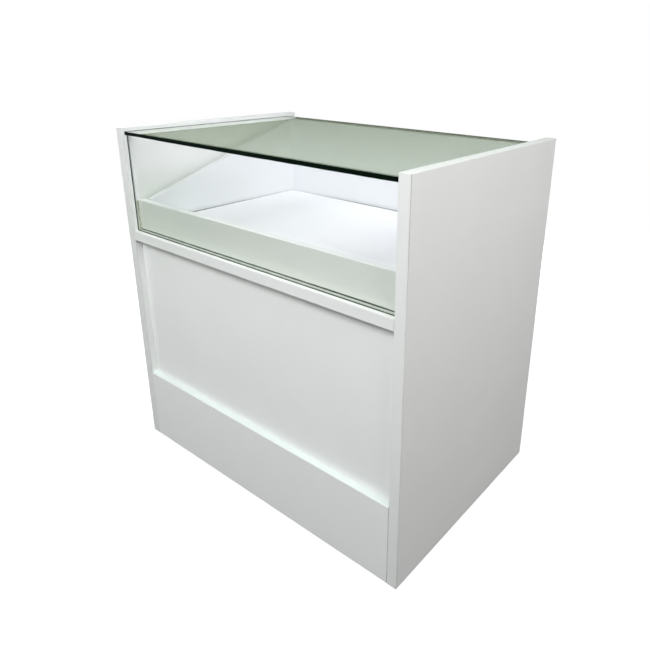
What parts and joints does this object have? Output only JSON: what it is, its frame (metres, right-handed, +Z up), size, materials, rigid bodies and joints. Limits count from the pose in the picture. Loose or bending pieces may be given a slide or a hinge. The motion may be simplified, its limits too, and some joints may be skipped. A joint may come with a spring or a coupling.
{
  "type": "glass display counter",
  "caption": "Laminated shop counter with a glass top and front over a sloped-sided display tray that pulls out on runners, a recessed front, a kick board and open rear storage.",
  "frame": {"origin": "on the floor, midway between the two ends and midway from front to rear", "axes": "+Z up, +X along the counter from left to right as the customer sees it, +Y from the customer side to the staff side"},
  "size_m": [0.9, 0.6, 0.89],
  "materials": {
    "carcass_laminate": "white melamine-faced board, satin",
    "tray_laminate": "white melamine-faced board, satin",
    "edging": "white edging strip, satin",
    "float_glass": "clear float glass with polished edges",
    "beech": "fluted beech dowel",
    "zinc_steel": "zinc-plated steel",
    "satin_aluminium": "satin anodised"
  },
  "bodies": {
    "cabinet": {"side_panel_left": "carcass_laminate", "side_panel_right": "carcass_laminate", "edge_band_left": "edging", "edge_band_right": "edging", "display_deck": "carcass_laminate", "front_panel": "carcass_laminate", "kick_board": "carcass_laminate", "display_fascia": "carcass_laminate", "base_board": "carcass_laminate", "rear_plinth": "carcass_laminate", "storage_shelf": "carcass_laminate", "shelf_pin_front_left": "zinc_steel", "shelf_pin_front_right": "zinc_steel", "shelf_pin_rear_left": "zinc_steel", "shelf_pin_rear_right": "zinc_steel", "dowel_deck_front_left": "beech", "dowel_deck_front_right": "beech", "dowel_deck_rear_left": "beech", "dowel_deck_rear_right": "beech", "dowel_base_front_left": "beech", "dowel_base_front_right": "beech", "dowel_base_rear_left": "beech", "dowel_base_rear_right": "beech", "top_glass": "float_glass", "front_glass": "float_glass", "runner_cabinet_left": "zinc_steel", "runner_cabinet_right": "zinc_steel"},
    "tray": {"tray_front_board": "tray_laminate", "tray_back_board": "tray_laminate", "tray_base": "tray_laminate", "tray_side_left": "tray_laminate", "tray_side_right": "tray_laminate", "drawer_face": "tray_laminate", "finger_pull": "satin_aluminium", "runner_tray_left": "zinc_steel", "runner_tray_right": "zinc_steel"},
    "runner_left": {"runner_middle_left": "zinc_steel"},
    "runner_right": {"runner_middle_right": "zinc_steel"}
  },
  "joints": [
    {"name": "tray_slide", "type": "slide", "parent": "cabinet", "child": "tray", "axis": [0, 1, 0], "range_m": [0, 0.4]},
    {"name": "runner_left_slide", "type": "slide", "parent": "cabinet", "child": "runner_left", "axis": [0, 1, 0], "range_m": [0, 0.2]},
    {"name": "runner_right_slide", "type": "slide", "parent": "cabinet", "child": "runner_right", "axis": [0, 1, 0], "range_m": [0, 0.2]}
  ],
  "couplings": [
    {"joint": "runner_left_slide", "follows": "tray_slide", "ratio": 0.5},
    {"joint": "runner_right_slide", "follows": "tray_slide", "ratio": 0.5}
  ]
}
